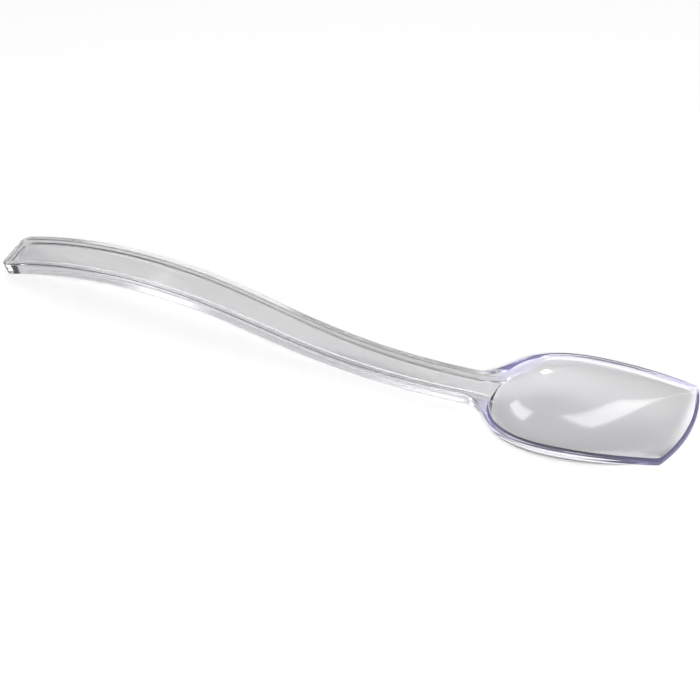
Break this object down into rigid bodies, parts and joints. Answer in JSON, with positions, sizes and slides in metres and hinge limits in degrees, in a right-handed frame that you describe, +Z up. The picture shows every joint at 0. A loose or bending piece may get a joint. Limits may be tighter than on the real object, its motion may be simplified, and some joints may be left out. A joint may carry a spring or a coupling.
{
  "type": "serving scoop",
  "caption": "Clear plastic serving scoop with a shallow bowl, a wide square-cornered lip, and a long S-curved handle with raised edges.",
  "frame": {"origin": "on the table, under the middle of the scoop's overall length", "axes": "+X along the scoop from the handle's end to the front lip, +Y to its left side, +Z up"},
  "size_m": [0.2542, 0.048, 0.0202],
  "materials": {
    "clear_plastic": "polished clear"
  },
  "bodies": {
    "root": {"bowl_rim": "clear_plastic", "bowl_shell": "clear_plastic", "neck": "clear_plastic", "handle_web": "clear_plastic", "handle_end": "clear_plastic", "handle_left_rail": "clear_plastic", "handle_right_rail": "clear_plastic"}
  },
  "joints": []
}
